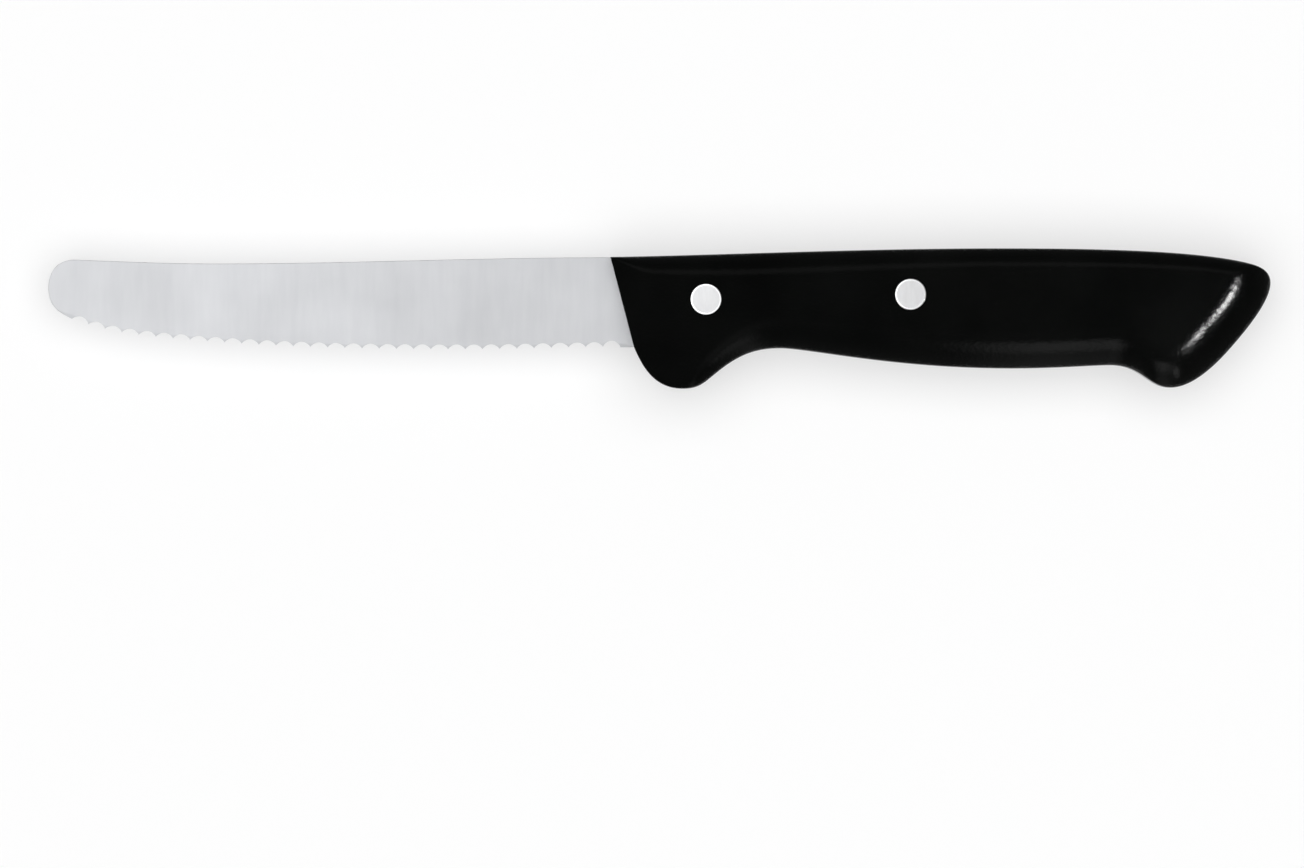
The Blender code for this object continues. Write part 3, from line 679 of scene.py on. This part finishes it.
def mapAcross(mesh):
    # A flat UV map seen from above, so that the tangent runs across the grinding lines.
    bm = bmesh.new()
    bm.from_mesh(mesh)
    across = bm.loops.layers.uv.new("across")
    for face in bm.faces:
        for loop in face.loops:
            loop[across].uv = loop.vert.co.xy * uvPerMetre
    bm.to_mesh(mesh)
    bm.free()


metalPieces = bpy.data.collections.new("metalPieces")


def finishPiece(piece, node, material, sharpAngle):
    # Out of millimetres into the CAD's place, then shaded and set on the frame.
    piece.data.transform(Matrix.Translation(knifeOrigin) @ Matrix.Scale(millimetre, 4))
    mapAcross(piece.data)
    piece.data.materials.clear()
    piece.data.materials.append(material)
    piece.data.shade_smooth()
    piece.data.set_sharp_from_angle(angle=math.radians(sharpAngle))
    weighting = piece.modifiers.new("evenShading", "WEIGHTED_NORMAL")
    weighting.mode = "FACE_AREA"
    weighting.weight = 100
    weighting.keep_sharp = True
    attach(piece, "root")
    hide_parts(node)
    if material != blackPlastic:
        metalPieces.objects.link(piece)


grindMarks = grindMarksGroup()
handlingMarks = handlingMarksGroup()
bladeSteel = groundMetal("bladeSteel", steelLook, grindMarks, handlingMarks)
rivetMetal = groundMetal("rivetMetal", rivetLook, grindMarks, handlingMarks)
blackPlastic = mouldedPlastic("blackPlastic", plasticLook, handlingMarks)
print("materials ready")

handle = handleShell(handleForm)
carve(handle, tangSlot(tangForm, bladeForm["thickness"] / 2))
for place in rivetForm["places"].values():
    carve(handle, rivetBore(rivetForm, place))
finishPiece(handle, "handle", blackPlastic, handleForm["sharpAngle"])
print("handle ready:", len(handle.data.polygons), "faces")

blank = bladeBlank(bladeForm, tangForm)
grindSide(blank, bladeForm, 1)
grindSide(blank, bladeForm, -1)
blade = meshObject("groundBlade", blank)
carve(blade, flutes(bladeForm, scallopForm), True)
for place in rivetForm["places"].values():
    carve(blade, tangBore(rivetForm, place))
finishPiece(blade, "blade", bladeSteel, bladeForm["sharpAngle"])
print("blade ready:", len(blade.data.polygons), "faces")

for side, place in rivetForm["places"].items():
    finishPiece(rivetPost(rivetForm, side, place), side + "_rivet_post", rivetMetal,
                rivetForm["sharpAngle"])
    finishPiece(rivetSleeve(rivetForm, side, place), side + "_rivet_sleeve", rivetMetal,
                rivetForm["sharpAngle"])
print("rivets ready")


# Stage, lamps and camera

stageLook = {
    "floorSize": 12.0,
    "floorGap": 0.00005,     # keeps the handle's resting face and the floor apart
    "floorColour": (0.95, 0.95, 0.95, 1.0),
    "whiteShare": 0.5,       # of the floor's look that is plain white, for a pale shadow
    "skyOverhead": 0.05,
    "skyHorizon": 0.12,
    "skyFade": 0.6,          # height on the sky's unit sphere where the overhead level starts
}
# The aim is x and y in millimetres; azimuth from +X, the angle off the zenith and the angle to
# which the grid narrows the beam are in degrees; distance and size, across and along, are in
# metres. The border is the share of a side, from each end, over which the cloth darkens towards
# its frame. The radiance is the level straight ahead. All lamps but the first are only mirrored.
lamps = {
    "overheadSoftbox": {     # all of the diffuse light
        "aim": (0.0, 0.0), "azimuth": 0.0, "offZenith": 0.0, "distance": 3.0, "size": (5.0, 5.0),
        "border": (0.0, 0.0), "grid": 180.0, "radiance": 2.10, "mirrored": False},
    "keySoftbox": {          # the streak on the hook
        "aim": (105.0, -9.5), "azimuth": -26.4, "offZenith": 20.0, "distance": 0.3,
        "size": (0.041, 0.06), "border": (0.35, 0.35), "grid": 24.0, "radiance": 84.0},
    "metalSoftbox": {        # brightens the steel, and is kept off the handle
        "aim": (-88.0, 0.0), "azimuth": 175.0, "offZenith": 6.0, "distance": 0.36,
        "size": (0.72, 0.72), "border": (0.5, 0.5), "grid": 180.0, "radiance": 2.48,
        "metalOnly": True},
    "bellySoftbox": {        # the upper part of the band along the belly
        "aim": (77.0, -14.0), "azimuth": -90.0, "offZenith": 41.0, "distance": 0.12,
        "size": (0.070, 0.072), "border": (0.5, 0.35), "grid": 70.0, "radiance": 0.43},
    "bellyFill": {           # its lower part
        "aim": (77.0, -14.0), "azimuth": -90.0, "offZenith": 59.0, "distance": 0.12,
        "size": (0.075, 0.16), "border": (0.5, 0.15), "grid": 180.0, "radiance": 0.20},
    "hookSoftbox": {         # the glow at the hook's bottom
        "aim": (98.5, -20.0), "azimuth": -79.0, "offZenith": 54.0, "distance": 0.12,
        "size": (0.035, 0.11), "border": (0.4, 0.35), "grid": 45.0, "radiance": 0.95},
    "neckSoftbox": {         # the glow on the neck
        "aim": (20.0, -17.0), "azimuth": -50.0, "offZenith": 28.0, "distance": 0.2,
        "size": (0.14, 0.20), "border": (0.4, 0.4), "grid": 40.0, "radiance": 0.12},
    "backSoftbox": {         # the faint line along the back
        "aim": (90.0, -1.0), "azimuth": 84.0, "offZenith": 21.0, "distance": 0.5,
        "size": (0.40, 0.22), "border": (0.2, 0.35), "grid": 180.0, "radiance": 0.13},
}
photoView = {
    "centre": Vector((-0.00124, -0.02009, 0.007)),
    "frameWidth": 0.2273,    # seen at the height of the centre, in metres
    "lens": 400.0,
    "sensor": 36.0,
}


def plainFloor(look):
    bm = bmesh.new()
    bmesh.ops.create_grid(bm, x_segments=1, y_segments=1, size=look["floorSize"] / 2)
    bmesh.ops.translate(bm, verts=bm.verts, vec=(0.0, 0.0, -look["floorGap"]))
    floor = meshObject("paleFloor", bm)
    material, tree, shader, _ = newMaterial("palePaper")
    shader.inputs["Base Color"].default_value = look["floorColour"]
    shader.inputs["Roughness"].default_value = 1.0
    shader.inputs["Specular IOR Level"].default_value = 0.0
    rays = addNode(tree, "ShaderNodeLightPath").outputs
    seen = addNode(tree, "ShaderNodeMath", {0: rays["Is Camera Ray"], 1: rays["Is Glossy Ray"]},
                   operation="ADD")
    seen = addNode(tree, "ShaderNodeMath", {0: seen.outputs[0], 1: rays["Is Transmission Ray"]},
                   operation="ADD", use_clamp=True)
    share = addNode(tree, "ShaderNodeMath", {0: seen.outputs[0], 1: look["whiteShare"]},
                    operation="MULTIPLY")
    white = addNode(tree, "ShaderNodeEmission", {"Strength": 1.0})
    mixed = addNode(tree, "ShaderNodeMixShader", {
        0: share.outputs[0], 1: shader.outputs[0], 2: white.outputs[0]})
    tree.links.new(mixed.outputs[0], tree.nodes["Material Output"].inputs["Surface"])
    floor.data.materials.append(material)


def studioSky(look):
    # Darker overhead, where the camera is, and paler towards the horizon.
    world = bpy.data.worlds.new("studioSky")
    world.use_nodes = True
    bpy.context.scene.world = world
    tree = world.node_tree
    where = addNode(tree, "ShaderNodeTexCoord")
    parts = addNode(tree, "ShaderNodeSeparateXYZ", {0: where.outputs["Generated"]})
    level = addNode(tree, "ShaderNodeMapRange", {
        "Value": parts.outputs["Z"], "From Min": 0.0, "From Max": look["skyFade"],
        "To Min": look["skyHorizon"], "To Max": look["skyOverhead"]})
    tree.links.new(level.outputs[0], tree.nodes["Background"].inputs["Strength"])
    tree.nodes["Background"].inputs["Color"].default_value = (1.0, 1.0, 1.0, 1.0)


def gridShare(angle):
    # How much of an open lamp's power is left at the same radiance straight ahead.
    return 1.0 - angle / 2 / math.tan(angle / 2)


def softBorder(light, border):
    # The cloth glows less towards its frame.
    light.use_nodes = True
    tree = light.node_tree
    where = addNode(tree, "ShaderNodeNewGeometry")
    parts = addNode(tree, "ShaderNodeSeparateXYZ", {0: where.outputs["Parametric"]})
    glow = None
    for axis, share in zip("XY", border):
        # 0 at both ends of the side and 0.5 in its middle
        inward = addNode(tree, "ShaderNodeMath", {0: parts.outputs[axis], 1: 0.5},
                         operation="PINGPONG")
        rise = addNode(tree, "ShaderNodeMapRange", {"Value": inward.outputs[0], "From Max": share},
                       interpolation_type="SMOOTHSTEP").outputs[0]
        glow = rise if glow is None else addNode(tree, "ShaderNodeMath", {0: glow, 1: rise},
                                                 operation="MULTIPLY").outputs[0]
    tree.links.new(glow, tree.nodes["Emission"].inputs["Strength"])


def addLamp(name, lamp):
    off = math.radians(lamp["offZenith"])
    away = headingVector(lamp["azimuth"]) * math.sin(off) + Vector((0.0, 0.0, math.cos(off)))
    light = bpy.data.lights.new(name, "AREA")
    light.shape = "RECTANGLE"
    light.size, light.size_y = lamp["size"]
    light.spread = math.radians(lamp["grid"])
    light.energy = lamp["radiance"] * math.pi * light.size * light.size_y * gridShare(light.spread)
    if max(lamp["border"]) > 0.0:
        softBorder(light, lamp["border"])
    placed = bpy.data.objects.new(name, light)
    placed.location = Vector((*lamp["aim"], middle)) * millimetre + away * lamp["distance"]
    placed.rotation_euler = away.to_track_quat("Z", "Y").to_euler()
    mirrored = lamp.get("mirrored", True)
    placed.visible_camera = False
    placed.visible_diffuse = not mirrored
    placed.visible_glossy = mirrored
    if lamp.get("metalOnly"):
        placed.light_linking.receiver_collection = metalPieces
    bpy.context.scene.collection.objects.link(placed)


def addCamera(view):
    camera = bpy.data.cameras.new("photoCamera")
    camera.lens = view["lens"]
    camera.sensor_width = view["sensor"]
    placed = bpy.data.objects.new("photoCamera", camera)
    height = view["frameWidth"] * view["lens"] / view["sensor"]
    placed.location = view["centre"] + Vector((0.0, 0.0, height))
    bpy.context.scene.collection.objects.link(placed)
    bpy.context.scene.camera = placed


plainFloor(stageLook)
studioSky(stageLook)
for name, lamp in lamps.items():
    addLamp(name, lamp)
addCamera(photoView)
bpy.context.scene.view_settings.view_transform = "Standard"
print("stage, lamps and camera ready")
